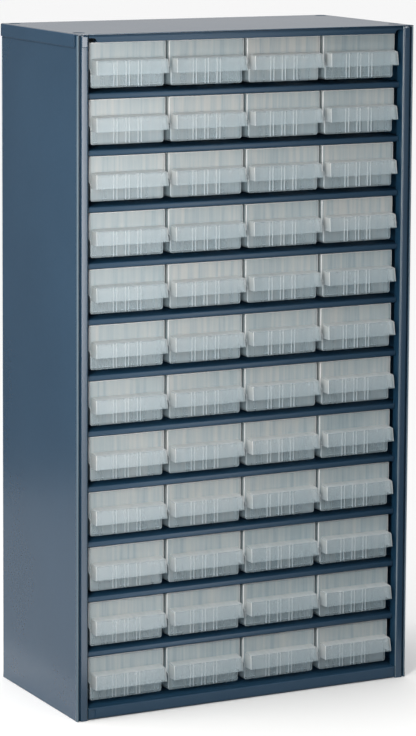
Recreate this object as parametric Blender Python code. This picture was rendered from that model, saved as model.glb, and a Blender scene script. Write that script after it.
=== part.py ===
"""Small-parts cabinet: a folded steel carcass with twelve rows of four translucent plastic drawers.

Metres, +Z up, +X to the viewer's right, drawers pull out along -Y.
The origin is on the underside, at the middle of the steel carcass.
"""

import math

import bmesh
import bpy

MM = 0.001

# Driving dimensions, in millimetres.
WIDTH = 306.0
DEPTH = 150.0
HEIGHT = 552.0
ROWS = 12
COLUMNS = 4
ROW_PITCH = 45.0
COLUMN_PITCH = 70.4
FIRST_SHELF = 9.7
SHEET = 0.8
GAP = 0.3

HALF_WIDTH = WIDTH / 2
FRONT = -DEPTH / 2
BACK = DEPTH / 2

# Side panels: the sheet stands this far inside the cover, and folds into a post at the front.
PANEL_INSET = 1.0
PANEL_X = HALF_WIDTH - PANEL_INSET
PANEL_BACK = BACK - SHEET - GAP
BEAD_LENGTH = 4.2
GROOVE_WIDTH = 1.9
GROOVE_DEPTH = 2.6
POST_INNER_X = 143.0
POST_ROUNDING = 1.6
POST_RETURN = 9.0
BACK_FLANGE = 10.0
FOOT_FLARE = 0.7
FOOT_FLARE_HEIGHT = 10.0
PAD_HEIGHT = 9.0
PAD_THICKNESS = 0.5
PANEL_TOP = HEIGHT - SHEET - GAP

# Top cover.
SKIRT_HEIGHT = 10.5
SKIRT_FRONT = FRONT + 6.0
SKIRT_THICKNESS = PANEL_INSET - GAP
COVER_EDGE_RADIUS = 1.2
DIMPLE_RADIUS = 5.0
DIMPLE_DEPTH = 0.4
DIMPLE_X = 144.0
DIMPLE_FRONT_Y = -58.0
DIMPLE_BACK_Y = 66.0

# Front rail under the cover: its lower corners are cut away next to the posts.
RAIL_FRONT = FRONT + 0.5
RAIL_BOTTOM = HEIGHT - 6.7
RAIL_CUT_WIDTH = 7.0
RAIL_CUT_HEIGHT = 3.4
RAIL_FLANGE_BACK = FRONT + 9.0

# Base tray and shelves.
SHELF_FRONT = FRONT + 5.5
SHELF_BACK = 70.0
RAIL_ROUNDING = 2.5
LIP_HEIGHT = 4.6
LIP_TOP_ROUNDING = 0.7
LIP_ROLL = 1.6
WING_FRONT = FRONT + POST_RETURN + 1.0
WING_INSET = 0.1
RUNNER_HALF = 8.0
RUNNER_HEIGHT = 3.6
RUNNER_FRONT = -30.0
RUNNER_BACK = 64.0
SPINE_WIDTH = 14.0
SPINE_X = 105.6
SPINE_FRONT = 68.6
SPINE_BACK = 71.2

# Back panel, with two keyhole slots for hanging.
KEYHOLE_X = 100.0
KEYHOLE_Z = 492.0
KEYHOLE_RADIUS = 5.0
KEYHOLE_SLOT = 5.0
KEYHOLE_LENGTH = 14.0

# Drawer: open box, and a hooded pull across its front.
DRAWER_HEIGHT = 36.2
DRAWER_FRONT = -67.0
DRAWER_LENGTH = 133.0
DRAWER_TOP_HALF = 33.8
DRAWER_LOWER_HALF = 32.2
STEP_TOP = 15.5
STEP_BOTTOM = 13.5
CORNER_RADIUS = 2.2
WALL = 1.3
FLOOR = 1.5
PULL_DEPTH = 10.8
PULL_TOP = 22.3
PULL_BOTTOM = 10.8
PULL_HALF = 32.4
PULL_FLARE = 1.3
PULL_RAKE = 0.8
PULL_SLOPE = 1.1
PULL_WALL = 1.4
PULL_ROOT = 0.5
PULL_FRONT = DRAWER_FRONT - PULL_DEPTH


def clear_scene():
    for item in list(bpy.data.objects):
        bpy.data.objects.remove(item, do_unlink=True)


def material(name, colour, roughness, metallic=0.0, alpha=1.0):
    made = bpy.data.materials.new(name)
    made.use_nodes = True
    shader = made.node_tree.nodes["Principled BSDF"]
    shader.inputs["Base Color"].default_value = (*colour, 1.0)
    shader.inputs["Roughness"].default_value = roughness
    shader.inputs["Metallic"].default_value = metallic
    shader.inputs["Alpha"].default_value = alpha
    return made


def add_object(name, bm, look=None, location=(0.0, 0.0, 0.0)):
    """Turns a bmesh in millimetres into an object in metres."""
    bmesh.ops.recalc_face_normals(bm, faces=bm.faces)
    bmesh.ops.scale(bm, vec=(MM, MM, MM), verts=bm.verts)
    mesh = bpy.data.meshes.new(name)
    bm.to_mesh(mesh)
    bm.free()
    made = bpy.data.objects.new(name, mesh)
    bpy.context.scene.collection.objects.link(made)
    made.location = [value * MM for value in location]
    if look:
        mesh.materials.append(look)
    return made


def add_prism(bm, outline, axis, start, end):
    """Extrudes a 2D outline along X, Y or Z; the outline gives the other two coordinates in order."""
    def place(point, along):
        coordinates = list(point)
        coordinates.insert(axis, along)
        return bm.verts.new(coordinates)

    near = [place(point, start) for point in outline]
    far = [place(point, end) for point in outline]
    bm.faces.new(near)
    bm.faces.new(list(reversed(far)))
    for i in range(len(outline)):
        j = (i + 1) % len(outline)
        bm.faces.new((near[i], far[i], far[j], near[j]))


def add_box(bm, low, high):
    outline = [(low[0], low[1]), (high[0], low[1]), (high[0], high[1]), (low[0], high[1])]
    add_prism(bm, outline, 2, low[2], high[2])


def arc(centre, radius, start, end, steps):
    """Points on an arc, angles in degrees."""
    points = []
    for i in range(steps + 1):
        angle = math.radians(start + (end - start) * i / steps)
        points.append((centre[0] + radius * math.cos(angle), centre[1] + radius * math.sin(angle)))
    return points


def combine(target, operand, operation):
    """Adds a Boolean modifier whose operand stays in the file as a hidden guide."""
    operand.hide_render = True
    operand.display_type = "WIRE"
    modifier = target.modifiers.new(operand.name, "BOOLEAN")
    modifier.operation = operation
    modifier.solver = "EXACT"
    modifier.object = operand


def shelf_height(level):
    return FIRST_SHELF + ROW_PITCH * level


def side_panel_outline(flare=0.0):
    """Left panel seen from above: back flange, side sheet, bead, groove and front post."""
    side = -PANEL_X
    bead = -HALF_WIDTH
    face = FRONT - flare / 2
    inside = side + SHEET
    groove_left = side + 0.6
    groove_right = groove_left + GROOVE_WIDTH
    groove_floor = FRONT + GROOVE_DEPTH
    post = -POST_INNER_X
    bead_back = FRONT + BEAD_LENGTH
    return [
        (side + BACK_FLANGE, PANEL_BACK),
        (side - flare, PANEL_BACK),
        (side - flare, bead_back),
        (bead + 0.3, bead_back - 0.7),
        (bead, bead_back - 1.8),
        (bead, face + 1.2),
        (bead + 0.4, face + 0.2),
        (side, face),
        (groove_left, face + 0.4),
        (groove_left, groove_floor),
        (groove_right, groove_floor),
        (groove_right, face + 0.4),
        (groove_right + 0.4, face),
        *arc((post - POST_ROUNDING, face + POST_ROUNDING), POST_ROUNDING, -90.0, 0.0, 3),
        (post, FRONT + POST_RETURN),
        (post - SHEET, FRONT + POST_RETURN),
        (post - SHEET, face + POST_ROUNDING),
        (post - POST_ROUNDING, face + SHEET),
        (groove_right + SHEET, face + SHEET),
        (groove_right + SHEET, groove_floor + SHEET),
        (inside - flare, groove_floor + SHEET),
        (inside - flare, PANEL_BACK - SHEET),
        (side + BACK_FLANGE, PANEL_BACK - SHEET),
    ]


def side_panel(name, mirror, look):
    """Folded sheet with a foot that flares out at the bottom and a raised pad on top of the post."""
    bm = bmesh.new()
    stations = [(0.0, FOOT_FLARE), (FOOT_FLARE_HEIGHT, 0.0), (PANEL_TOP, 0.0)]
    rings = []
    for height, flare in stations:
        outline = side_panel_outline(flare)
        rings.append([bm.verts.new((mirror * x, y, height)) for x, y in outline])
    for lower, upper in zip(rings, rings[1:]):
        for i in range(len(lower)):
            j = (i + 1) % len(lower)
            bm.faces.new((lower[i], lower[j], upper[j], upper[i]))
    bm.faces.new(list(reversed(rings[0])))
    bm.faces.new(rings[-1])
    panel = add_object(name, bm, look)

    bm = bmesh.new()
    near_x = POST_INNER_X + POST_ROUNDING
    far_x = PANEL_X - GROOVE_WIDTH - 1.1
    low_x, high_x = sorted((-mirror * near_x, -mirror * far_x))
    foot = PANEL_TOP - PAD_HEIGHT
    profile = [
        (FRONT + SHEET / 2, foot - PAD_THICKNESS),
        (FRONT, foot - PAD_THICKNESS),
        (FRONT - PAD_THICKNESS, foot),
        (FRONT - PAD_THICKNESS, PANEL_TOP - 0.5),
        (FRONT, PANEL_TOP - 0.1),
        (FRONT + SHEET / 2, PANEL_TOP - 0.1),
    ]
    add_prism(bm, profile, 0, low_x, high_x)
    combine(panel, add_object(f"{name}_pad", bm), "UNION")
    return panel


def top_cover(look):
    """Pressed cover: a flat top with a skirt over each side panel, open at the front and the back."""
    bm = bmesh.new()
    add_box(bm, (-HALF_WIDTH, FRONT, HEIGHT - SKIRT_HEIGHT), (HALF_WIDTH, BACK, HEIGHT))
    top_edges = [edge for edge in bm.edges if all(v.co.z > HEIGHT - 0.1 for v in edge.verts)]
    side_edges = [edge for edge in top_edges if edge.verts[0].co.x * edge.verts[1].co.x > 0]
    rounding = {"offset": COVER_EDGE_RADIUS, "segments": 2, "profile": 0.5, "affect": "EDGES"}
    bmesh.ops.bevel(bm, geom=side_edges, **rounding)
    cover = add_object("top_cover", bm, look)

    inner_x = HALF_WIDTH - SKIRT_THICKNESS
    outside_x = HALF_WIDTH + 5.0
    outside_y = BACK + 5.0
    hollow = [(-inner_x, outside_y), (-inner_x, SKIRT_FRONT)]
    hollow += [(-outside_x, SKIRT_FRONT), (-outside_x, -outside_y)]
    hollow += [(-x, y) for x, y in reversed(hollow)]
    bm = bmesh.new()
    add_prism(bm, hollow, 2, HEIGHT - SKIRT_HEIGHT - 5.0, HEIGHT - SHEET)
    combine(cover, add_object("cover_hollow", bm), "DIFFERENCE")

    bm = bmesh.new()
    for x in (-DIMPLE_X, DIMPLE_X):
        for y in (DIMPLE_FRONT_Y, DIMPLE_BACK_Y):
            circle = arc((x, y), DIMPLE_RADIUS, 0.0, 345.0, 23)
            add_prism(bm, circle, 2, HEIGHT - DIMPLE_DEPTH, HEIGHT + 1.0)
    combine(cover, add_object("cover_dimples", bm), "DIFFERENCE")
    return cover


def top_front_rail(look):
    """Strip under the front of the cover, with rounded cut-outs at its lower corners."""
    end = POST_INNER_X - GAP
    top = HEIGHT - SHEET - GAP
    cut_x = end - RAIL_CUT_WIDTH
    shoulder = RAIL_BOTTOM + RAIL_CUT_HEIGHT
    right = arc((cut_x + RAIL_CUT_HEIGHT, RAIL_BOTTOM), RAIL_CUT_HEIGHT, 180.0, 90.0, 4)
    outline = [(-end, top), (-end, shoulder)]
    outline += [(-x, z) for x, z in reversed(right)]
    outline += right
    outline += [(end, shoulder), (end, top)]
    bm = bmesh.new()
    add_prism(bm, outline, 1, RAIL_FRONT, RAIL_FRONT + SHEET)
    rail = add_object("top_front_rail", bm, look)

    bm = bmesh.new()
    low = (-cut_x + 1.0, RAIL_FRONT + 0.3, RAIL_BOTTOM + 0.2)
    add_box(bm, low, (cut_x - 1.0, RAIL_FLANGE_BACK, RAIL_BOTTOM + 0.2 + SHEET))
    combine(rail, add_object("rail_flange", bm), "UNION")
    return rail


def base_tray(look):
    """Bottom sheet with a folded front rail, and wings that reach the side panels behind the posts."""
    end = POST_INNER_X - GAP
    hem_back = SHELF_FRONT - GAP
    corner = (FRONT + RAIL_ROUNDING, RAIL_ROUNDING)
    profile = arc(corner, RAIL_ROUNDING, -180.0, -90.0, 3)
    profile += [
        (SHELF_BACK, 0.0),
        (SHELF_BACK, SHEET),
    ]
    profile += arc(corner, RAIL_ROUNDING - SHEET, -90.0, -180.0, 3)
    profile += [
        (FRONT + SHEET, FIRST_SHELF - SHEET),
        (hem_back, FIRST_SHELF - SHEET),
        (hem_back, FIRST_SHELF),
        (FRONT + 0.5, FIRST_SHELF),
        (FRONT, FIRST_SHELF - 0.5),
    ]
    bm = bmesh.new()
    add_prism(bm, profile, 0, -end, end)
    tray = add_object("base_tray", bm, look)

    bm = bmesh.new()
    reach = PANEL_X - SHEET - GAP
    for side in (-1, 1):
        low_x, high_x = sorted((side * (end - 2.0), side * reach))
        back = SHELF_BACK - WING_INSET
        add_box(bm, (low_x, WING_FRONT, WING_INSET), (high_x, back, SHEET - WING_INSET))
    combine(tray, add_object("tray_wings", bm), "UNION")
    return tray


def shelf_profile(top, with_lip):
    """Shelf seen from the side; its front folds down into a lip whose lower edge is rolled inwards."""
    crown = (SHELF_FRONT + LIP_TOP_ROUNDING, top - LIP_TOP_ROUNDING)
    profile = arc(crown, LIP_TOP_ROUNDING, 180.0, 90.0, 2)
    profile += [(SHELF_BACK, top), (SHELF_BACK, top - SHEET)]
    if not with_lip:
        return profile + [(SHELF_FRONT, top - SHEET)]
    roll = (SHELF_FRONT + LIP_ROLL, top - LIP_HEIGHT + LIP_ROLL)
    profile += [(SHELF_FRONT + SHEET, top - SHEET)]
    profile += arc(roll, LIP_ROLL - SHEET, 180.0, 270.0, 3)
    profile += arc(roll, LIP_ROLL, 270.0, 180.0, 3)
    return profile


def shelf_rack(look):
    """Twelve drawer shelves joined by three rear spines, with raised runners under the drawers' sides."""
    end = POST_INNER_X - GAP
    reach = PANEL_X - SHEET - GAP
    bm = bmesh.new()
    for level in range(ROWS):
        top = shelf_height(level)
        add_prism(bm, shelf_profile(top, level > 0), 0, -end, end)
    rack = add_object("shelf_rack", bm, look)

    bm = bmesh.new()
    for level in range(ROWS):
        top = shelf_height(level)
        for side in (-1, 1):
            low_x, high_x = sorted((side * (end - 2.0), side * reach))
            back = SHELF_BACK - WING_INSET
            add_box(bm, (low_x, WING_FRONT, top - SHEET + WING_INSET), (high_x, back, top - WING_INSET))
    combine(rack, add_object("shelf_wings", bm), "UNION")

    bm = bmesh.new()
    for level in range(ROWS):
        top = shelf_height(level)
        for column in range(COLUMNS + 1):
            x = (column - COLUMNS / 2) * COLUMN_PITCH
            low_x = max(x - RUNNER_HALF, -end + 0.2)
            high_x = min(x + RUNNER_HALF, end - 0.2)
            low = (low_x, RUNNER_FRONT, top - SHEET / 2)
            add_box(bm, low, (high_x, RUNNER_BACK, top + RUNNER_HEIGHT))
    combine(rack, add_object("shelf_runners", bm), "UNION")

    bm = bmesh.new()
    for x in (-SPINE_X, 0.0, SPINE_X):
        low = (x - SPINE_WIDTH / 2, SPINE_FRONT, shelf_height(0) - SHEET - 2.0)
        add_box(bm, low, (x + SPINE_WIDTH / 2, SPINE_BACK, shelf_height(ROWS - 1) + 30.0))
    combine(rack, add_object("shelf_spines", bm), "UNION")
    return rack


def back_panel(look):
    """Flat sheet over the back flanges of the side panels, with two keyhole slots."""
    top = HEIGHT - SHEET - GAP
    bm = bmesh.new()
    add_box(bm, (-PANEL_X, BACK - SHEET, 0.0), (PANEL_X, BACK, top))
    panel = add_object("back_panel", bm, look)

    bm = bmesh.new()
    half_slot = KEYHOLE_SLOT / 2
    join = math.degrees(math.asin(half_slot / KEYHOLE_RADIUS))
    for x in (-KEYHOLE_X, KEYHOLE_X):
        bottom = arc((x, KEYHOLE_Z), KEYHOLE_RADIUS, 90.0 + join, 450.0 - join, 14)
        tip = arc((x, KEYHOLE_Z + KEYHOLE_LENGTH), half_slot, 0.0, 180.0, 6)
        add_prism(bm, bottom + tip, 1, BACK - SHEET - 1.0, BACK + 1.0)
    combine(panel, add_object("keyhole_cutter", bm), "DIFFERENCE")
    return panel


def half_profile(top_half, lower_half, radius, floor):
    """Right half of a drawer's cross-section, from the middle of its floor up to its rim."""
    points = arc((lower_half - radius, floor + radius), radius, -90.0, 0.0, 3)
    points += [(lower_half, STEP_BOTTOM), (top_half, STEP_TOP), (top_half, DRAWER_HEIGHT)]
    return points


def mirrored(half):
    return [(-x, z) for x, z in reversed(half)] + half


def drawer_mesh(look):
    """One drawer about its own origin: the open box, joined to the hood of its pull."""
    outer = mirrored(half_profile(DRAWER_TOP_HALF, DRAWER_LOWER_HALF, CORNER_RADIUS, 0.0))
    inner_half = half_profile(DRAWER_TOP_HALF - WALL, DRAWER_LOWER_HALF - WALL, CORNER_RADIUS - WALL, FLOOR)
    inner = mirrored(inner_half)
    back = DRAWER_FRONT + DRAWER_LENGTH

    bm = bmesh.new()
    add_prism(bm, outer, 1, DRAWER_FRONT, back)
    box = add_object("drawer_box", bm, look)

    bm = bmesh.new()
    hollow = inner[:-1] + [(inner[-1][0], DRAWER_HEIGHT + 2.0)]
    hollow = [(-hollow[-1][0], hollow[-1][1])] + hollow[1:]
    add_prism(bm, hollow, 1, DRAWER_FRONT + WALL, back - WALL)
    cutter = add_object("drawer_hollow", bm)
    combine(box, cutter, "DIFFERENCE")

    bm = bmesh.new()
    add_hood(bm)
    hood = add_object("drawer_hood", bm)
    combine(box, hood, "UNION")

    bpy.context.view_layer.update()
    evaluated = box.evaluated_get(bpy.context.evaluated_depsgraph_get())
    mesh = bpy.data.meshes.new_from_object(evaluated)
    mesh.name = "drawer"
    for helper in (box, cutter, hood):
        bpy.data.objects.remove(helper, do_unlink=True)
    return mesh


def add_hood(bm):
    """Hood of the pull: top, front skirt and two cheeks, open underneath for the fingers."""
    root = DRAWER_FRONT + PULL_ROOT

    def ring(inset):
        """Left-back, left-front, right-front and right-back corners, at the top and at the bottom."""
        top_half = PULL_HALF - inset
        low_half = PULL_HALF + PULL_FLARE - inset
        top_front = PULL_FRONT + PULL_RAKE + inset
        low_front = PULL_FRONT + inset
        front_z = PULL_TOP - inset
        back_z = front_z + PULL_SLOPE
        top = [
            (-top_half, root, back_z),
            (-top_half, top_front, front_z),
            (top_half, top_front, front_z),
            (top_half, root, back_z),
        ]
        low = [(-low_half, root), (-low_half, low_front), (low_half, low_front), (low_half, root)]
        upper = [bm.verts.new(corner) for corner in top]
        lower = [bm.verts.new((x, y, PULL_BOTTOM)) for x, y in low]
        return upper, lower

    outer_top, outer_low = ring(0.0)
    inner_top, inner_low = ring(PULL_WALL)
    bm.faces.new(outer_top)
    bm.faces.new(inner_top)
    for i in range(3):
        bm.faces.new((outer_top[i], outer_top[i + 1], outer_low[i + 1], outer_low[i]))
        bm.faces.new((inner_top[i], inner_top[i + 1], inner_low[i + 1], inner_low[i]))
        bm.faces.new((outer_low[i], outer_low[i + 1], inner_low[i + 1], inner_low[i]))
    bm.faces.new((outer_top[0], outer_low[0], inner_low[0], inner_top[0]))
    bm.faces.new((outer_top[3], outer_low[3], inner_low[3], inner_top[3]))
    bm.faces.new((outer_top[0], outer_top[3], inner_top[3], inner_top[0]))


def drawers(look):
    """Places the drawers, row 1 at the top and column 1 at the left."""
    mesh = drawer_mesh(look)
    for row in range(1, ROWS + 1):
        for column in range(1, COLUMNS + 1):
            drawer = bpy.data.objects.new(f"drawer_row{row:02d}_col{column}", mesh)
            bpy.context.scene.collection.objects.link(drawer)
            x = (column - (COLUMNS + 1) / 2) * COLUMN_PITCH
            z = shelf_height(ROWS - row) + RUNNER_HEIGHT + GAP
            drawer.location = (x * MM, 0.0, z * MM)


def main():
    clear_scene()
    steel = material("painted_steel", (0.075, 0.115, 0.18), 0.42)
    plastic = material("translucent_plastic", (0.72, 0.75, 0.76), 0.35, alpha=0.75)
    side_panel("left_side_panel", 1, steel)
    side_panel("right_side_panel", -1, steel)
    top_cover(steel)
    top_front_rail(steel)
    base_tray(steel)
    shelf_rack(steel)
    back_panel(steel)
    drawers(plastic)


main()
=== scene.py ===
"""Looks of the small-parts cabinet: painted steel carcass, translucent drawers, pale studio.

Pieces are placed in metres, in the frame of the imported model. Sizes below are in millimetres unless they
say otherwise.
"""

import math

import bmesh
import bpy
from mathutils import Matrix, Vector


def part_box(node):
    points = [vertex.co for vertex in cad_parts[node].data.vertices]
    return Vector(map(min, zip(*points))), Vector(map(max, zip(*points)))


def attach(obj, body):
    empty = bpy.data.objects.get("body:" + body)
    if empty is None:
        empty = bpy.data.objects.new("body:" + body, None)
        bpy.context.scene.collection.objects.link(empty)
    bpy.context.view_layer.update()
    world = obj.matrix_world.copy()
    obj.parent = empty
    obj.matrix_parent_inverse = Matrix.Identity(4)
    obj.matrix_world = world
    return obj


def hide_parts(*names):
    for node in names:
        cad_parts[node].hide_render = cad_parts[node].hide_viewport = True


MM = 0.001
ROWS = 12
COLUMNS = 4

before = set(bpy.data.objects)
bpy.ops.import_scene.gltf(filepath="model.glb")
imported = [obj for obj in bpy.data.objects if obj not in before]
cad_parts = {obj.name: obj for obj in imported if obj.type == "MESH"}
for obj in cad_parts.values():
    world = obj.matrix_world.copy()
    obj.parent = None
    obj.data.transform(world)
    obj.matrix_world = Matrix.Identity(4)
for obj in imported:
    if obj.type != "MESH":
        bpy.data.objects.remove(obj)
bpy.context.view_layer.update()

# Where the drawers are, from the frame.
SAMPLE_LOW, SAMPLE_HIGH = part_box("drawer_row12_col1")
DRAWER_WIDTH = (SAMPLE_HIGH.x - SAMPLE_LOW.x) / MM
DRAWER_HEIGHT = (SAMPLE_HIGH.z - SAMPLE_LOW.z) / MM
DRAWER_BACK = SAMPLE_HIGH.y / MM
PULL_FRONT = SAMPLE_LOW.y / MM

# Drawer moulding: heights above its underside, and half widths from its middle. Its side walls step
# outwards between STEP_BOTTOM and STEP_TOP. The pull is a hood across the front: its front leans back by
# PULL_RAKE, its cheeks flare by PULL_FLARE towards the bottom, and its top rises by PULL_SLOPE towards the
# face of the drawer, which it enters by PULL_SINK.
FRONT_DEPTH = 10.8
DRAWER_FRONT = PULL_FRONT + FRONT_DEPTH
TOP_HALF = DRAWER_WIDTH / 2
STEP_INSET = 1.6
LOWER_HALF = TOP_HALF - STEP_INSET
STEP_BOTTOM = 13.5
STEP_TOP = 15.5
CORNER_RADIUS = 2.2
CORNER_STEPS = 6
WALL = 1.3
FLOOR_THICKNESS = 1.5
PULL_TOP = 22.3
PULL_BOTTOM = 10.8
PULL_HALF = 31.4
PULL_FLARE = 0.4
PULL_RAKE = 1.4
PULL_SLOPE = 1.1
PULL_WALL = 1.4
PULL_CORNER = 1.0
PULL_INNER_CORNER = 0.4
PULL_STEPS = 4
PULL_SINK = 0.5
OPEN_ABOVE = 2.0

# Pairs of ribs on the front, fine flutes behind its upper part, and ribs for cross dividers on the side
# walls. Starts are heights above the underside or, for the flutes, above the pull. Ends are distances
# below the rim.
RIB_PITCH = 10.7
RIB_GAP = 2.9
RIB_WIDTH = 0.9
RIB_DEPTH = 0.8
RIB_START = 0.8
RIB_SINK = 0.4
FLUTE_PITCH = 3.1
FLUTE_HALF = 0.5
FLUTE_DEPTH = 0.3
FLUTE_MARGIN = 4.0
FLUTE_START = 0.6
FLUTE_END = 1.4
SLOT_PITCH = 22.0
SLOT_GAP = 2.4
SLOT_RIB = 0.9
SLOT_HALF = 0.4
SLOT_START = 3.5
SLOT_END = 3.0

# Rounding of edges, and the angles in degrees past which an edge is rounded or drawn sharp. Points of a
# sheet within WELD_GAP metres are welded, and faces within FLAT_ANGLE degrees are joined.
BOX_ROUNDING = 0.6
HOOD_ROUNDING = 0.45
RIB_ROUNDING = 0.2
BEVEL_SEGMENTS = 2
FOLD_ANGLE = 30.0
MOULDING_ANGLE = 35.0
SMOOTH_ANGLE = 40.0
FLAT_ANGLE = 1.0
WELD_GAP = 0.00001

# Places of the looks in the drawer's list of materials, and the limits of a face's normal, from 0 to 1,
# that decide between them. Level faces up to FLOOR_MARGIN over the floor's top take the floor's look.
# The edges' look is paler and more opaque: partly thicker plastic, partly a painted highlight.
WALLS, EDGES_AND_HIGHLIGHTS, HOOD, BOTTOM, HOOD_SIDES_PAINTED_LIGHT = range(5)
# The hood's cheeks and top take a paler, more opaque copy of its look: painted light through the hood.
SQUARE_ON = 0.9
NEARLY_LEVEL = 0.8
DOWNWARD = 0.35
ROUND_CORNER = 0.25
FORWARD = 0.2
FLOOR_MARGIN = 0.2

# Seams under the cover and its skirts, and places of the posts and beads. A cut starts outside its sheet.
CUT_PAST = 1.0
SEAM_HEIGHT = 1.1
SEAM_DEPTH = 0.55
POST_SEAM_DEPTH = 0.6
PANEL_INSET = 1.0
SKIRT_START = 5.0
POST_INNER = 143.0
# The bead and the inner corner of each post, within these reaches, take a painted highlight.
BEAD_HIGHLIGHT_INSET = 8.3
BEAD_HIGHLIGHT_REACH = 1.3
CORNER_HIGHLIGHT_REACH = 1.1

# Recess at each end of the base rail.
RECESS_INSET = 8.9
RECESS_WIDTH = 5.4
RECESS_LOW = 1.6
RECESS_HIGH = 8.4
RECESS_DEPTH = 0.65

# Colours of the powder coat between its darker and lighter patches.
STEEL_DARK = (0.010, 0.042, 0.084)
STEEL_LIGHT = (0.017, 0.057, 0.108)
# Paler coat on the bead and the inner corner of each post: a painted highlight of those edges.
HIGHLIGHT_DARK = (0.08, 0.13, 0.17)
HIGHLIGHT_LIGHT = (0.13, 0.18, 0.22)

# Powder coat: broad clouds of tone and a fine orange peel. Noise scales are per metre.
CLOUD_SCALE = 9.0
CLOUD_DETAIL = 3.0
PEEL_SCALE = 450.0
PEEL_DETAIL = 1.0
PEEL_TONE = 0.35
PEEL_STRENGTH = 0.03
PEEL_HEIGHT = 0.0001
STEEL_IOR = 1.5
DARK_STOP = 0.1
MIDDLE_STOP = 0.5
LIGHT_STOP = 0.9

# Plastic: fine streaks drawn out up the walls, broad patches, and a tone of its own for each drawer.
STREAK_STRETCH = (1.0, 0.3, 0.04)
STREAK_SCALE = 330.0
STREAK_RANGE = (0.35, 1.05)
STREAK_HEIGHT = 0.0003
PATCH_SCALE = 40.0
PATCH_TONE = 0.4
PLASTIC_DETAIL = 1.0
DRAWER_TONE = 0.22
DRAWER_SHIFT = 3.0
PLASTIC_IOR = 1.49

# Cover of the plastic where it is thin, low on the walls, as a share of its full cover, and the heights in
# metres between which it thickens.
THIN_COVER = 0.72
THIN_HEIGHT = 0.008
FULL_HEIGHT = 0.020

# Colour of the plastic where little light reaches it, its share at the floor of a drawer, and the heights
# in metres between which it fades.
FLOOR_TINT = (0.56, 0.76, 0.88)
TINT_SHARE = 0.55
TINT_HEIGHT = 0.004
UNTINTED_HEIGHT = 0.020

# Studio: brightness of the room at eye level behind, beside and before the cabinet, and overhead.
# ROOM_BACKWARD is the level direction, (x, y), of its back wall. WALL_STOPS say where, as a share of the
# way from front to back, the tones of the sides and the back are reached.
ROOM_BACK = 0.70
ROOM_SIDE = 0.32
ROOM_FRONT = 0.08
ROOM_OVERHEAD = 1.15
ROOM_BACKWARD = (-0.6, 0.8)
WALL_STOPS = (0.5, 0.7)
OVERHEAD_FALLOFF = 2.0

# Floor, cards and mats of the studio: shades from 0 to 1, sizes in millimetres. A mat is given by two
# corners of its box; a card by its place in metres, its width and height, and its turn in degrees.
GROUND_SHADE = 0.95
GROUND_RADIUS = 20000.0
GROUND_SEGMENTS = 96
GROUND_DROP = 0.2
MATT_ROUGHNESS = 0.9
MATT_GLOSS = 0.1
GREY_CARD = 0.65
DARK_CARD = 0.04
CARD_THICKNESS = 10.0
GREY_MAT = ((-1400.0, -100.0, 2.0), (-200.0, 700.0, 3.0))
DARK_MAT = ((200.0, -850.0, 2.0), (1400.0, -100.0, 3.0))
SIDE_CARD = ((-0.52, 0.71), 900.0, 750.0, 27.0)
FRONT_CARD = ((0.93, -0.79), 1060.0, 900.0, 20.0)

# Lamps: place, point aimed at, and size, all in metres, with their power in watts.
SOFTBOX = ((0.42, -1.5, 0.40), (0.0, 0.0, 0.40), (0.30, 0.86), 12.5)
FILL = ((-1.6, 0.25, 0.60), (0.0, 0.0, 0.30), (0.6, 0.8), 7.0)
GLOW = ((0.12, -0.65, 0.005), (0.12, -0.65, 1.0), (0.22, 1.05), 1.55)
GLOW_TURN = 25.0
KEY = ((-0.55, -0.62, 0.50), (0.0, -0.05, 0.42), (0.12, 0.40), 4.6)
KEY_COLOUR = (1.0, 0.97, 0.92)

# Camera: in front of the cabinet and to its left, a little above its top. Place and clipping in metres,
# angles in degrees, lens and sensor in millimetres, shift as a share of the frame's height.
CAMERA_PLACE = (-1.1632, -2.2533, 0.7140)
CAMERA_AZIMUTH = -27.33
CAMERA_ELEVATION = 7.02
CAMERA_ROLL = 0.33
LENS = 150.55435
SENSOR = 36.0
SHIFT_Y = -0.22146739
CLIP_START = 0.05
CLIP_END = 60.0


# ---------------------------------------------------------------- mesh helpers

def new_object(name, bm, look):
    """Turns a bmesh in millimetres into an object in metres."""
    bmesh.ops.recalc_face_normals(bm, faces=bm.faces)
    bmesh.ops.scale(bm, vec=(MM, MM, MM), verts=bm.verts)
    mesh = bpy.data.meshes.new(name)
    bm.to_mesh(mesh)
    bm.free()
    made = bpy.data.objects.new(name, mesh)
    bpy.context.scene.collection.objects.link(made)
    if look:
        mesh.materials.append(look)
    return made


def add_prism(bm, outline, axis, start, end):
    """Extrudes a 2D outline along X, Y or Z; the outline gives the other two coordinates in order."""
    def place(point, along):
        coordinates = list(point)
        coordinates.insert(axis, along)
        return bm.verts.new(coordinates)

    near = [place(point, start) for point in outline]
    far = [place(point, end) for point in outline]
    bm.faces.new(near)
    bm.faces.new(list(reversed(far)))
    for i in range(len(outline)):
        j = (i + 1) % len(outline)
        bm.faces.new((near[i], far[i], far[j], near[j]))


def add_box(bm, low, high):
    outline = [(low[0], low[1]), (high[0], low[1]), (high[0], high[1]), (low[0], high[1])]
    add_prism(bm, outline, 2, low[2], high[2])


def arc(centre, radius, start, end, steps):
    """Points on an arc, angles in degrees."""
    points = []
    for i in range(steps + 1):
        angle = math.radians(start + (end - start) * i / steps)
        points.append((centre[0] + radius * math.cos(angle), centre[1] + radius * math.sin(angle)))
    return points


def boolean(target, operand, operation):
    modifier = target.modifiers.new(operand.name, "BOOLEAN")
    modifier.operation = operation
    modifier.solver = "EXACT"
    modifier.object = operand


def round_edges(target, width, angle, look_index=-1):
    """Rounds the sharp edges; with an index of -1 the rounding keeps the material beside it."""
    modifier = target.modifiers.new("rounded edges", "BEVEL")
    modifier.material = look_index
    modifier.width = width * MM
    modifier.segments = BEVEL_SEGMENTS
    modifier.limit_method = "ANGLE"
    modifier.angle_limit = math.radians(angle)


def weigh_normals(target):
    """Keeps broad faces flat, so that only the rounded edges bend the light."""
    modifier = target.modifiers.new("weighted normals", "WEIGHTED_NORMAL")
    modifier.keep_sharp = True


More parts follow.
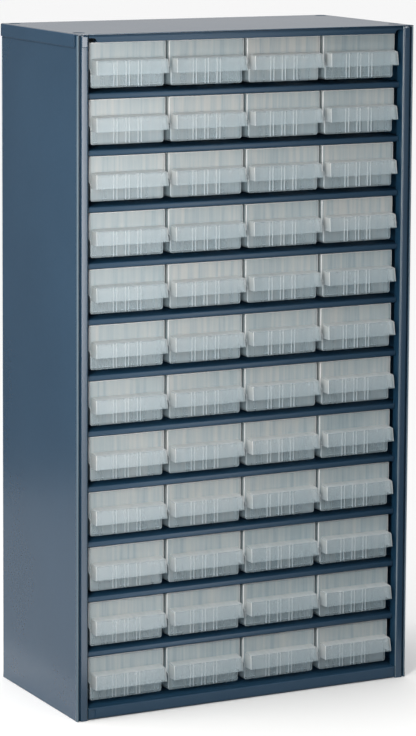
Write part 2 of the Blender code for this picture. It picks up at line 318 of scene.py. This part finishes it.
def baked_mesh(target, name):
    """The mesh of an object with its modifiers applied."""
    bpy.context.view_layer.update()
    evaluated = target.evaluated_get(bpy.context.evaluated_depsgraph_get())
    mesh = bpy.data.meshes.new_from_object(evaluated)
    mesh.name = name
    return mesh


# ---------------------------------------------------------------- materials

def new_material(name):
    made = bpy.data.materials.new(name)
    made.use_nodes = True
    nodes = made.node_tree.nodes
    return made, nodes, made.node_tree.links, nodes["Principled BSDF"]


def noise_node(nodes, links, vector, scale, detail):
    node = nodes.new("ShaderNodeTexNoise")
    node.inputs["Scale"].default_value = scale
    node.inputs["Detail"].default_value = detail
    links.new(vector, node.inputs["Vector"])
    return node.outputs["Fac"]


def ramp_node(nodes, links, factor, stops):
    node = nodes.new("ShaderNodeValToRGB")
    ramp = node.color_ramp
    while len(ramp.elements) < len(stops):
        ramp.elements.new(0.5)
    for element, (position, colour) in zip(ramp.elements, stops):
        element.position = position
        element.color = (*colour, 1.0)
    links.new(factor, node.inputs["Fac"])
    return node.outputs["Color"]


def range_node(nodes, links, value, low, high, from_low=0.0, from_high=1.0):
    node = nodes.new("ShaderNodeMapRange")
    node.inputs["From Min"].default_value = from_low
    node.inputs["From Max"].default_value = from_high
    node.inputs["To Min"].default_value = low
    node.inputs["To Max"].default_value = high
    links.new(value, node.inputs["Value"])
    return node.outputs["Result"]


def math_node(nodes, links, operation, first, second):
    node = nodes.new("ShaderNodeMath")
    node.operation = operation
    for socket, value in zip(node.inputs, (first, second)):
        if isinstance(value, (int, float)):
            socket.default_value = value
        else:
            links.new(value, socket)
    return node.outputs["Value"]


def add_relief(nodes, links, shader, height, strength, distance):
    """Bump of a given strength and height in metres."""
    bump = nodes.new("ShaderNodeBump")
    bump.inputs["Strength"].default_value = strength
    bump.inputs["Distance"].default_value = distance
    links.new(height, bump.inputs["Height"])
    links.new(bump.outputs["Normal"], shader.inputs["Normal"])


def painted_steel(name, roughness, dark, light, gloss=0.5):
    """Powder coat with faint cloudiness and a fine orange peel."""
    made, nodes, links, shader = new_material(name)
    place = nodes.new("ShaderNodeTexCoord").outputs["Object"]
    clouds = noise_node(nodes, links, place, CLOUD_SCALE, CLOUD_DETAIL)
    peel = noise_node(nodes, links, place, PEEL_SCALE, PEEL_DETAIL)
    centred = math_node(nodes, links, "SUBTRACT", peel, 0.5)
    mottle = math_node(nodes, links, "MULTIPLY", centred, PEEL_TONE)
    shade = math_node(nodes, links, "ADD", clouds, mottle)
    colour = ramp_node(nodes, links, shade, [(DARK_STOP, dark), (LIGHT_STOP, light)])
    links.new(colour, shader.inputs["Base Color"])
    links.new(range_node(nodes, links, clouds, *roughness), shader.inputs["Roughness"])
    add_relief(nodes, links, shader, peel, PEEL_STRENGTH, PEEL_HEIGHT)
    shader.inputs["IOR"].default_value = STEEL_IOR
    shader.inputs["Specular IOR Level"].default_value = gloss
    return made


def tinted(nodes, links, colour, height):
    """Shifts a colour towards blue near the floor of a drawer."""
    blend = nodes.new("ShaderNodeMix")
    blend.data_type = "RGBA"
    share = range_node(nodes, links, height, TINT_SHARE, 0.0, TINT_HEIGHT, UNTINTED_HEIGHT)
    # Sockets 6 and 7 of the node are its two colours, and socket 2 of its outputs is their mix.
    links.new(share, blend.inputs[0])
    links.new(colour, blend.inputs[6])
    blend.inputs[7].default_value = (*FLOOR_TINT, 1.0)
    return blend.outputs[2]


def shifted_place(nodes, links, chance):
    """Place on a drawer, and the same moved by a distance of its own, so that no two drawers look alike."""
    place = nodes.new("ShaderNodeTexCoord").outputs["Object"]
    shift = nodes.new("ShaderNodeCombineXYZ")
    links.new(math_node(nodes, links, "MULTIPLY", chance, DRAWER_SHIFT), shift.inputs["X"])
    moved = nodes.new("ShaderNodeVectorMath")
    moved.operation = "ADD"
    links.new(place, moved.inputs[0])
    links.new(shift.outputs["Vector"], moved.inputs[1])
    return place, moved.outputs["Vector"]


def plastic_look(name, colours, opacity, roughness, relief):
    """Milky polypropylene with flow streaks up its walls; it is thinner and clearer towards its floor."""
    made, nodes, links, shader = new_material(name)
    chance = nodes.new("ShaderNodeObjectInfo").outputs["Random"]
    place, moved = shifted_place(nodes, links, chance)
    stretch = nodes.new("ShaderNodeMapping")
    stretch.inputs["Scale"].default_value = STREAK_STRETCH
    links.new(moved, stretch.inputs["Vector"])
    fine = noise_node(nodes, links, stretch.outputs["Vector"], STREAK_SCALE, PLASTIC_DETAIL)
    broad = noise_node(nodes, links, moved, PATCH_SCALE, PLASTIC_DETAIL)
    centred = math_node(nodes, links, "SUBTRACT", chance, 0.5)
    tone = math_node(nodes, links, "MULTIPLY", centred, DRAWER_TONE)
    patches = math_node(nodes, links, "ADD", math_node(nodes, links, "MULTIPLY", broad, PATCH_TONE), tone)
    mixed = math_node(nodes, links, "ADD", fine, patches)
    streaks = range_node(nodes, links, mixed, 0.0, 1.0, *STREAK_RANGE)

    parts = nodes.new("ShaderNodeSeparateXYZ")
    links.new(place, parts.inputs["Vector"])
    height = parts.outputs["Z"]
    stops = zip((DARK_STOP, MIDDLE_STOP, LIGHT_STOP), colours)
    colour = ramp_node(nodes, links, streaks, list(stops))
    links.new(tinted(nodes, links, colour, height), shader.inputs["Base Color"])
    thickness = range_node(nodes, links, height, THIN_COVER, 1.0, THIN_HEIGHT, FULL_HEIGHT)
    cover = range_node(nodes, links, streaks, *opacity)
    links.new(math_node(nodes, links, "MULTIPLY", cover, thickness), shader.inputs["Alpha"])
    links.new(range_node(nodes, links, fine, *roughness), shader.inputs["Roughness"])
    add_relief(nodes, links, shader, fine, relief, STREAK_HEIGHT)
    shader.inputs["IOR"].default_value = PLASTIC_IOR
    return made


def pale_look(name, shade):
    """Plain matt surface of the studio."""
    made, _, _, shader = new_material(name)
    shader.inputs["Base Color"].default_value = (shade, shade, shade, 1.0)
    shader.inputs["Roughness"].default_value = MATT_ROUGHNESS
    shader.inputs["Specular IOR Level"].default_value = MATT_GLOSS
    return made


# ---------------------------------------------------------------- carcass

def press(sheet, boxes):
    """Cuts shallow boxes, given in millimetres, out of a sheet."""
    bm = bmesh.new()
    for low, high in boxes:
        add_box(bm, low, high)
    cutter = new_object("cutter", bm, None)
    boolean(sheet, cutter, "DIFFERENCE")
    pressed = baked_mesh(sheet, f"{sheet.name}_pressed")
    sheet.modifiers.clear()
    sheet.data = pressed
    bpy.data.objects.remove(cutter, do_unlink=True)


def both_sides(near, far, low, high):
    """The same box on both sides: distances from the middle plane, then (y, z) of two corners."""
    return [
        ((-far, *low), (-near, *high)),
        ((near, *low), (far, *high)),
    ]


def rail_recesses(front, half):
    """Shallow recess beside each post in the base rail."""
    outer = half - RECESS_INSET
    low = (front - CUT_PAST, RECESS_LOW)
    high = (front + RECESS_DEPTH, RECESS_HIGH)
    return both_sides(outer - RECESS_WIDTH, outer, low, high)


def cover_seam(front, top, half):
    """Seam between the front rail and the edge of the cover above it."""
    low = (-half, front - CUT_PAST, top - SEAM_HEIGHT)
    return [(low, (half, front + SEAM_DEPTH, top + CUT_PAST))]


def skirt_seams(front, top, half, skirt):
    """Seams of the side panels: under the cover's skirts, and between the posts and the cover."""
    outer = half - PANEL_INSET
    skirt_low = (front + SKIRT_START, skirt - SEAM_HEIGHT)
    skirt_boxes = both_sides(outer - SEAM_DEPTH, half + CUT_PAST, skirt_low, (half, skirt))
    post_low = (front - CUT_PAST, top - SEAM_HEIGHT)
    post_high = (front + POST_SEAM_DEPTH, top + CUT_PAST)
    return skirt_boxes + both_sides(POST_INNER - CUT_PAST, half + CUT_PAST, post_low, post_high)


def pressings(node):
    """Boxes to cut out of a sheet of the carcass, in millimetres."""
    low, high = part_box(node)
    front = low.y / MM
    top = high.z / MM
    cover_low, cover_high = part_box("top_cover")
    half = cover_high.x / MM
    if node == "base_tray":
        return rail_recesses(front, high.x / MM)
    if node == "top_front_rail":
        return cover_seam(front, top, half)
    if node.endswith("side_panel"):
        return skirt_seams(front, top, half, cover_low.z / MM)
    return []


def paint_edge_highlights(panel):
    """Paints a highlight on each bead and post corner: gives them the panel's last, paler material."""
    post_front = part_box("left_side_panel")[0].y / MM
    for face in panel.data.polygons:
        x = abs(face.center.x) / MM
        y = face.center.y / MM
        bead_highlight = x > POST_INNER + BEAD_HIGHLIGHT_INSET and y < post_front + BEAD_HIGHLIGHT_REACH
        corner_highlight = x < POST_INNER + CORNER_HIGHLIGHT_REACH and y < post_front + CORNER_HIGHLIGHT_REACH
        if bead_highlight or corner_highlight:
            face.material_index = len(panel.data.materials) - 1


def dressed_node(node, steel, width, flat, highlight_steel):
    """A copy of a CAD sheet with its sharp folds rounded, shown in its place."""
    made = bpy.data.objects.new(f"{node}_painted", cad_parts[node].data.copy())
    bpy.context.scene.collection.objects.link(made)
    made.data.materials.clear()
    made.data.materials.append(steel)
    weld = made.modifiers.new("weld", "WELD")
    weld.merge_threshold = WELD_GAP
    joined = made.modifiers.new("join flat faces", "DECIMATE")
    joined.decimate_type = "DISSOLVE"
    joined.angle_limit = math.radians(FLAT_ANGLE)
    boxes = pressings(node)
    if boxes:
        press(made, boxes)
    # The bead and post corners of a side panel take a paler coat, a painted highlight.
    if node.endswith("side_panel"):
        made.data.materials.append(highlight_steel)
        paint_edge_highlights(made)
    round_edges(made, width, FOLD_ANGLE)
    if flat:
        weigh_normals(made)
    made.data.shade_smooth()
    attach(made, "cabinet")
    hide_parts(node)


def make_carcass():
    """The painted sheets, each with the rounding of its folds and whether its broad faces are kept flat."""
    panel = painted_steel("painted_steel", (0.22, 0.26), STEEL_DARK, STEEL_LIGHT)
    folds = painted_steel("painted_steel_folds", (0.42, 0.48), STEEL_DARK, STEEL_LIGHT, 0.3)
    # Paler coat for the painted highlight on the beads and post corners.
    highlight_steel = painted_steel("painted_steel_worn", (0.30, 0.36), HIGHLIGHT_DARK, HIGHLIGHT_LIGHT)
    for sheet, steel, width, flat in (
        ("left_side_panel", panel, 0.12, True),
        ("right_side_panel", panel, 0.12, True),
        ("top_cover", panel, 0.45, True),
        ("top_front_rail", folds, 0.8, False),
        ("base_tray", folds, 0.3, True),
        ("shelf_rack", folds, 0.25, False),
        ("back_panel", panel, 0.3, True),
    ):
        dressed_node(sheet, steel, width, flat, highlight_steel)


# ---------------------------------------------------------------- drawers

def half_profile(top_half, lower_half, radius, floor):
    """Right half of a drawer's cross-section, from the middle of its floor up to its rim."""
    points = arc((lower_half - radius, floor + radius), radius, -90.0, 0.0, CORNER_STEPS)
    points += [(lower_half, STEP_BOTTOM), (top_half, STEP_TOP), (top_half, DRAWER_HEIGHT)]
    return points


def mirrored(half):
    return [(-x, z) for x, z in reversed(half)] + half


def hood_section(inset):
    """Front outline of the hood, from its lower left corner over the top to its lower right corner."""
    low_half = PULL_HALF + PULL_FLARE - inset
    top_half = PULL_HALF - inset
    top = PULL_TOP - inset
    radius = max(PULL_CORNER - inset, PULL_INNER_CORNER)
    right = arc((top_half - radius, top - radius), radius, 0.0, 90.0, PULL_STEPS)
    right = [(low_half, PULL_BOTTOM)] + right
    return [(-x, z) for x, z in right] + list(reversed(right))


def add_hood(bm):
    """Hood of the pull: a skin over the front, the top and both cheeks, open underneath."""
    root = DRAWER_FRONT + PULL_SINK

    def shell(inset):
        front = []
        back = []
        for x, z in hood_section(inset):
            rise = (z - PULL_BOTTOM) / (PULL_TOP - PULL_BOTTOM)
            front.append(bm.verts.new((x, PULL_FRONT + inset + PULL_RAKE * rise, z)))
            back.append(bm.verts.new((x, root, z + PULL_SLOPE * rise)))
        return back, front

    outer_back, outer_front = shell(0.0)
    inner_back, inner_front = shell(PULL_WALL)
    count = len(outer_back)
    for i in range(count - 1):
        bm.faces.new((outer_back[i], outer_back[i + 1], outer_front[i + 1], outer_front[i]))
        bm.faces.new((inner_back[i], inner_front[i], inner_front[i + 1], inner_back[i + 1]))
        bm.faces.new((outer_back[i], inner_back[i], inner_back[i + 1], outer_back[i + 1]))
    bm.faces.new(outer_front)
    bm.faces.new(list(reversed(inner_front)))
    bm.faces.new((outer_back[0], outer_front[0], inner_front[0], inner_back[0]))
    bm.faces.new((outer_front[0], outer_front[-1], inner_front[-1], inner_front[0]))
    bm.faces.new((outer_front[-1], outer_back[-1], inner_back[-1], inner_front[-1]))


def add_front_ribs(bm):
    """Three pairs of ribs on the face under the hood."""
    for pair in (-1, 0, 1):
        for side in (-0.5, 0.5):
            x = pair * RIB_PITCH + side * RIB_GAP
            low = (x - RIB_WIDTH / 2, DRAWER_FRONT - RIB_DEPTH, RIB_START)
            add_box(bm, low, (x + RIB_WIDTH / 2, DRAWER_FRONT + RIB_SINK, PULL_TOP - PULL_WALL + RIB_SINK))


def add_flutes(bm):
    """Fine upright ribs behind the upper part of the front."""
    inside = DRAWER_FRONT + WALL
    count = int((TOP_HALF - FLUTE_MARGIN) / FLUTE_PITCH)
    for i in range(-count, count + 1):
        x = i * FLUTE_PITCH
        low = (x - FLUTE_HALF, inside - FLUTE_DEPTH, PULL_TOP + FLUTE_START)
        add_box(bm, low, (x + FLUTE_HALF, inside + FLUTE_DEPTH, DRAWER_HEIGHT - FLUTE_END))


def add_divider_slots(bm):
    """Pairs of ribs up both side walls, which hold the cross dividers."""
    inner = TOP_HALF - WALL
    lower_inner = LOWER_HALF - WALL
    top = DRAWER_HEIGHT - SLOT_END
    y = DRAWER_FRONT + SLOT_PITCH
    while y < DRAWER_BACK - SLOT_PITCH / 2:
        for offset in (-SLOT_GAP / 2, SLOT_GAP / 2):
            for side in (-1, 1):
                outline = [
                    (side * (lower_inner + RIB_SINK), SLOT_START),
                    (side * (lower_inner - SLOT_RIB), SLOT_START),
                    (side * (inner - SLOT_RIB), top),
                    (side * (inner + RIB_SINK), top),
                    (side * (inner + RIB_SINK), STEP_TOP),
                    (side * (lower_inner + RIB_SINK), STEP_BOTTOM),
                ]
                add_prism(bm, outline, 1, y + offset - SLOT_HALF, y + offset + SLOT_HALF)
        y += SLOT_PITCH


def box_outlines():
    """Cross-sections of the drawer's outside, and of its hollow, which is open at the top."""
    outer = mirrored(half_profile(TOP_HALF, LOWER_HALF, CORNER_RADIUS, 0.0))
    inner_radius = CORNER_RADIUS - WALL
    inner = mirrored(half_profile(TOP_HALF - WALL, LOWER_HALF - WALL, inner_radius, FLOOR_THICKNESS))
    inner[0] = (inner[0][0], DRAWER_HEIGHT + OPEN_ABOVE)
    inner[-1] = (inner[-1][0], DRAWER_HEIGHT + OPEN_ABOVE)
    return outer, inner


def share_looks(mesh):
    """Gives the faces of the drawer their looks, by where they are and the way they face."""
    floor_top = (FLOOR_THICKNESS + FLOOR_MARGIN) * MM
    for face in mesh.polygons:
        normal = face.normal
        # Faces of a rounding that face down lose the painted highlight and keep the walls' look.
        if face.material_index == EDGES_AND_HIGHLIGHTS and normal.z < -DOWNWARD:
            face.material_index = WALLS
        if face.material_index == WALLS and abs(normal.z) > SQUARE_ON and face.center.z < floor_top:
            face.material_index = BOTTOM
        if face.material_index != HOOD:
            continue
        # Cheeks and top of the hood: a paler copy of its look, painted light through the hood.
        if abs(normal.x) > SQUARE_ON or normal.z > NEARLY_LEVEL:
            face.material_index = HOOD_SIDES_PAINTED_LIGHT
        # The hood's rounded front corners take the edges' look: a painted highlight.
        elif abs(normal.x) > ROUND_CORNER and normal.y < -FORWARD:
            face.material_index = EDGES_AND_HIGHLIGHTS


def drawer_mesh(looks):
    """One drawer about its own origin, on the underside of its middle."""
    helpers = []

    def shape(name, add, rounding=0.0, look_index=WALLS):
        bm = bmesh.new()
        add(bm)
        made = new_object(name, bm, looks[0])
        for look in looks[1:]:
            made.data.materials.append(look)
        for face in made.data.polygons:
            face.material_index = look_index
        if rounding:
            round_edges(made, rounding, MOULDING_ANGLE, look_index)
        helpers.append(made)
        return made

    outer, inner = box_outlines()
    box = shape("drawer_box", lambda bm: add_prism(bm, outer, 1, DRAWER_FRONT, DRAWER_BACK))
    inner_front = DRAWER_FRONT + WALL
    inner_back = DRAWER_BACK - WALL
    hollow = shape("drawer_hollow", lambda bm: add_prism(bm, inner, 1, inner_front, inner_back))
    boolean(box, hollow, "DIFFERENCE")
    # Roundings of the box take the edges' look, partly a painted highlight.
    round_edges(box, BOX_ROUNDING, MOULDING_ANGLE, EDGES_AND_HIGHLIGHTS)
    boolean(box, shape("drawer_hood", add_hood, HOOD_ROUNDING, HOOD), "UNION")
    # Ribs take the edges' look as well, partly a painted highlight.
    boolean(box, shape("drawer_ribs", add_front_ribs, RIB_ROUNDING, EDGES_AND_HIGHLIGHTS), "UNION")
    boolean(box, shape("drawer_flutes", add_flutes), "UNION")
    boolean(box, shape("drawer_slots", add_divider_slots), "UNION")
    mesh = baked_mesh(box, "drawer")
    mesh.shade_smooth()
    mesh.set_sharp_from_angle(angle=math.radians(SMOOTH_ANGLE))
    share_looks(mesh)
    smoothed = bpy.data.objects.new("drawer_smoothed", mesh)
    bpy.context.scene.collection.objects.link(smoothed)
    helpers.append(smoothed)
    weigh_normals(smoothed)
    mesh = baked_mesh(smoothed, "drawer")
    for helper in helpers:
        bpy.data.objects.remove(helper, do_unlink=True)
    return mesh


def drawer_looks():
    """Tones, cover, roughness and relief of the walls, edges, hood's front, floor and hood's sides."""
    return (
        plastic_look(
            "translucent_plastic",
            ((0.56, 0.69, 0.75), (0.63, 0.73, 0.77), (0.74, 0.77, 0.77)),
            (0.40, 0.48),
            (0.26, 0.30),
            0.05,
        ),
        # Edges: partly thicker plastic, partly a painted highlight.
        plastic_look(
            "plastic_edges",
            ((0.86, 0.90, 0.92), (0.89, 0.91, 0.92), (0.92, 0.92, 0.92)),
            (0.82, 0.88),
            (0.20, 0.24),
            0.05,
        ),
        plastic_look(
            "plastic_hood",
            ((0.62, 0.75, 0.81), (0.65, 0.77, 0.83), (0.68, 0.79, 0.84)),
            (0.27, 0.31),
            (0.25, 0.29),
            0.02,
        ),
        plastic_look(
            "plastic_floor",
            ((0.40, 0.52, 0.60), (0.48, 0.58, 0.65), (0.55, 0.64, 0.68)),
            (0.14, 0.20),
            (0.24, 0.32),
            0.05,
        ),
        # Hood's cheeks and top: a lit copy of the hood's look, painted light.
        plastic_look(
            "plastic_hood_sides",
            ((0.74, 0.80, 0.81), (0.79, 0.83, 0.84), (0.83, 0.85, 0.85)),
            (0.50, 0.55),
            (0.27, 0.30),
            0.02,
        ),
    )


def make_drawers():
    """48 drawers that share one mesh, each riding on its own body."""
    mesh = drawer_mesh(drawer_looks())
    for row in range(1, ROWS + 1):
        for column in range(1, COLUMNS + 1):
            node = f"drawer_row{row:02d}_col{column}"
            low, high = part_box(node)
            made = bpy.data.objects.new(f"{node}_moulding", mesh)
            bpy.context.scene.collection.objects.link(made)
            made.location = ((low.x + high.x) / 2, 0.0, low.z)
            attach(made, node)
            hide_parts(node)


# ---------------------------------------------------------------- studio

def area_light(name, lamp, colour=(1.0, 1.0, 1.0)):
    """Rectangular lamp that the camera doesn't see."""
    place, target, size, power = lamp
    data = bpy.data.lights.new(name, "AREA")
    data.shape = "RECTANGLE"
    data.size, data.size_y = size
    data.energy = power
    data.color = colour
    made = bpy.data.objects.new(name, data)
    bpy.context.scene.collection.objects.link(made)
    made.location = place
    made.rotation_euler = (Vector(target) - Vector(place)).to_track_quat("-Z", "Y").to_euler()
    made.visible_camera = False
    return made


def reflect_only(made):
    """Makes a piece of the studio show in reflections only, so that it casts no shadow."""
    made.visible_camera = False
    made.visible_diffuse = False
    made.visible_shadow = False


def studio_mat(name, look, corners):
    bm = bmesh.new()
    add_box(bm, *corners)
    reflect_only(new_object(name, bm, look))


def studio_card(name, look, card):
    """Upright card that stands on the floor."""
    centre, width, height, facing = card
    bm = bmesh.new()
    add_box(bm, (-width / 2, -CARD_THICKNESS / 2, 0.0), (width / 2, CARD_THICKNESS / 2, height))
    made = new_object(name, bm, look)
    made.location = (*centre, 0.0)
    made.rotation_euler.z = math.radians(facing)
    reflect_only(made)


def make_room():
    """World that is dim in front, pale behind and bright overhead; the camera sees it plain white."""
    world = bpy.data.worlds.new("studio")
    bpy.context.scene.world = world
    world.use_nodes = True
    nodes = world.node_tree.nodes
    links = world.node_tree.links
    background = nodes["Background"]
    direction = nodes.new("ShaderNodeTexCoord").outputs["Generated"]
    parts = nodes.new("ShaderNodeSeparateXYZ")
    links.new(direction, parts.inputs["Vector"])
    sideways = math_node(nodes, links, "MULTIPLY", parts.outputs["X"], ROOM_BACKWARD[0])
    inward = math_node(nodes, links, "MULTIPLY", parts.outputs["Y"], ROOM_BACKWARD[1])
    depth = math_node(nodes, links, "ADD", inward, sideways)
    walls = ramp_node(nodes, links, range_node(nodes, links, depth, 0.0, 1.0, -1.0, 1.0), [
        (0.0, (ROOM_FRONT, ROOM_FRONT, ROOM_FRONT)),
        (WALL_STOPS[0], (ROOM_SIDE, ROOM_SIDE, ROOM_SIDE)),
        (WALL_STOPS[1], (ROOM_BACK, ROOM_BACK, ROOM_BACK)),
    ])
    height = math_node(nodes, links, "MAXIMUM", parts.outputs["Z"], 0.0)
    falloff = math_node(nodes, links, "POWER", height, OVERHEAD_FALLOFF)
    overhead = math_node(nodes, links, "MULTIPLY", falloff, ROOM_OVERHEAD)
    level = math_node(nodes, links, "ADD", walls, overhead)
    camera_ray = nodes.new("ShaderNodeLightPath").outputs["Is Camera Ray"]
    links.new(math_node(nodes, links, "MAXIMUM", level, camera_ray), background.inputs["Strength"])
    background.inputs["Color"].default_value = (1.0, 1.0, 1.0, 1.0)


def make_ground():
    """Plain pale floor, which throws no light back up."""
    bm = bmesh.new()
    bmesh.ops.create_circle(bm, cap_ends=True, segments=GROUND_SEGMENTS, radius=GROUND_RADIUS)
    floor = new_object("floor", bm, pale_look("pale_floor", GROUND_SHADE))
    floor.location.z = -GROUND_DROP * MM
    floor.visible_diffuse = False


def make_cards():
    """Grey card and mat at the left, dark ones at the front right; they shape the gloss of the steel."""
    grey = pale_look("grey_card", GREY_CARD)
    studio_card("side_card", grey, SIDE_CARD)
    studio_mat("grey_mat", grey, GREY_MAT)
    studio_mat("dark_mat", pale_look("dark_mat", DARK_CARD), DARK_MAT)
    studio_card("front_card", pale_look("dark_card", DARK_CARD), FRONT_CARD)


def make_lamps():
    """A key and a fill at the left, and a softbox and a strip on the floor that only gloss picks up."""
    softbox = area_light("front softbox", SOFTBOX)
    softbox.visible_diffuse = False
    fill = area_light("side fill", FILL)
    fill.visible_glossy = False
    glow = area_light("floor glow", GLOW)
    glow.rotation_euler = (math.pi, 0.0, math.radians(GLOW_TURN))
    glow.visible_diffuse = False
    area_light("key", KEY, KEY_COLOUR)


def make_camera():
    """Camera at its azimuth and elevation, with its frame shifted, not tilted, towards the cabinet."""
    azimuth = math.radians(CAMERA_AZIMUTH)
    elevation = math.radians(CAMERA_ELEVATION)
    back = Vector((
        math.sin(azimuth) * math.cos(elevation),
        -math.cos(azimuth) * math.cos(elevation),
        math.sin(elevation),
    ))
    right = Vector((0.0, 0.0, 1.0)).cross(back).normalized()
    up = back.cross(right)
    turn = Matrix.Rotation(math.radians(CAMERA_ROLL), 3, "Z")
    axes = Matrix((right, up, back)).transposed() @ turn
    data = bpy.data.cameras.new("camera")
    data.sensor_width = SENSOR
    data.lens = LENS
    data.shift_y = SHIFT_Y
    data.clip_start = CLIP_START
    data.clip_end = CLIP_END
    camera = bpy.data.objects.new("camera", data)
    bpy.context.scene.collection.objects.link(camera)
    camera.matrix_world = Matrix.Translation(CAMERA_PLACE) @ axes.to_4x4()
    bpy.context.scene.camera = camera


# ---------------------------------------------------------------- build

bpy.context.scene.view_settings.view_transform = "Standard"
make_carcass()
make_drawers()
make_room()
make_ground()
make_cards()
make_lamps()
make_camera()
